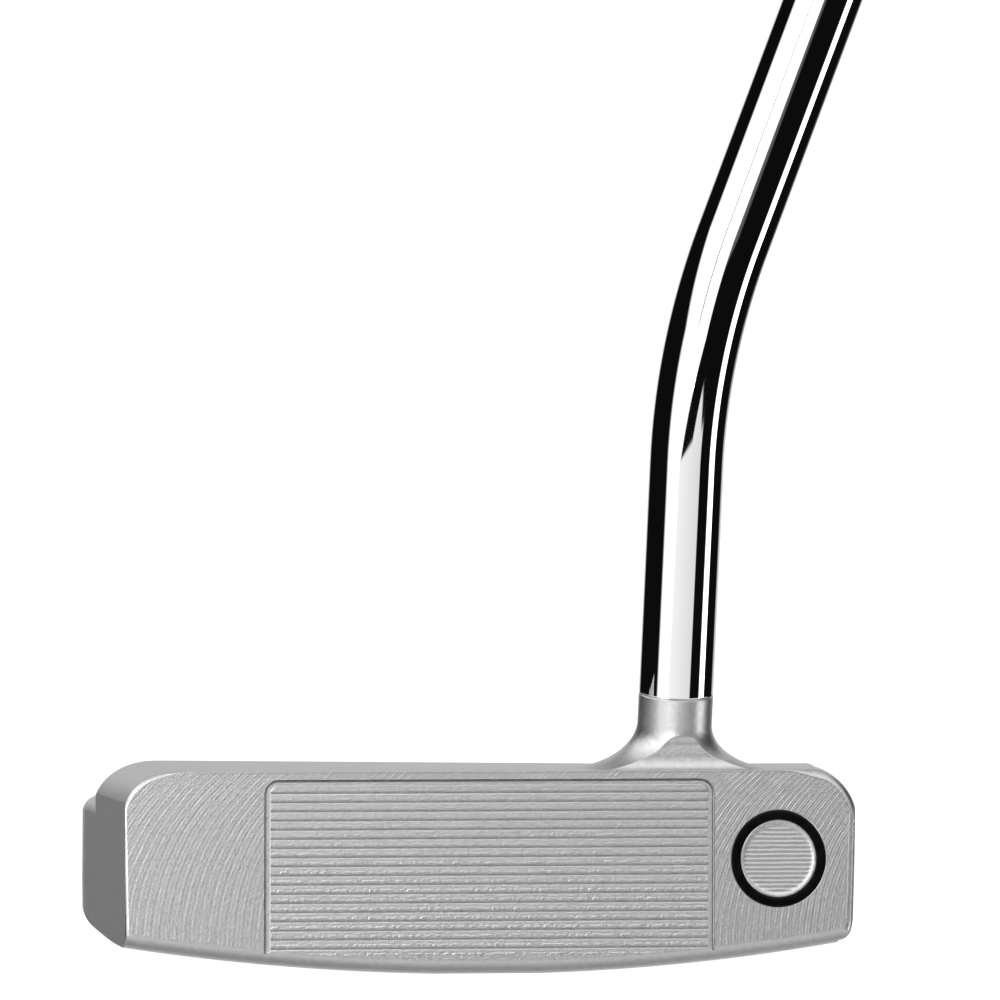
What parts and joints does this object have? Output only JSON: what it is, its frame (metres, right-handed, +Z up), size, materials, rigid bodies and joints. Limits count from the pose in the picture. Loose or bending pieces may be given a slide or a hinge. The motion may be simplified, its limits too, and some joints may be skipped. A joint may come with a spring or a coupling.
{
  "type": "mallet putter",
  "caption": "Right-handed mallet golf putter: milled head with grooved face, neck and rear flange in one piece, bent chromed shaft sleeved over the neck's post, and a stitched pistol grip.",
  "frame": {"origin": "middle of the flat land of the sole, on the ground, with the putter set at its playing lie", "axes": "+X from toe to heel, +Y from the face to the back of the head, +Z up; the face looks along -Y"},
  "size_m": [0.3589, 0.0764, 0.8141],
  "materials": {
    "milled_head": "milled, then fine bead-blasted satin",
    "ring_enamel": "black enamel paint fill",
    "sight_paint": "black enamel paint fill",
    "weight_steel": "turned stainless steel",
    "washer_nylon": "plain",
    "bond_epoxy": "cured epoxy",
    "shaft_chrome": "bright chrome plate",
    "band_foil": "plain foil wrap",
    "tape_cloth": "crepe paper tape",
    "grip_foam": "closed-cell foam",
    "grip_polyurethane": "soft matte, fine pebble",
    "grip_thread": "waxed thread",
    "cap_rubber": "moulded, matte"
  },
  "bodies": {
    "root": {"head_body": "milled_head", "face_ring_fill": "ring_enamel", "sight_line_fill": "sight_paint", "toe_weight": "weight_steel", "heel_weight": "weight_steel", "toe_weight_washer": "washer_nylon", "heel_weight_washer": "washer_nylon", "spud_epoxy": "bond_epoxy", "shaft": "shaft_chrome", "shaft_band": "band_foil", "grip_tape": "tape_cloth", "grip_core": "grip_foam", "grip_skin": "grip_polyurethane", "grip_stitching": "grip_thread", "grip_cap": "cap_rubber"}
  },
  "joints": []
}
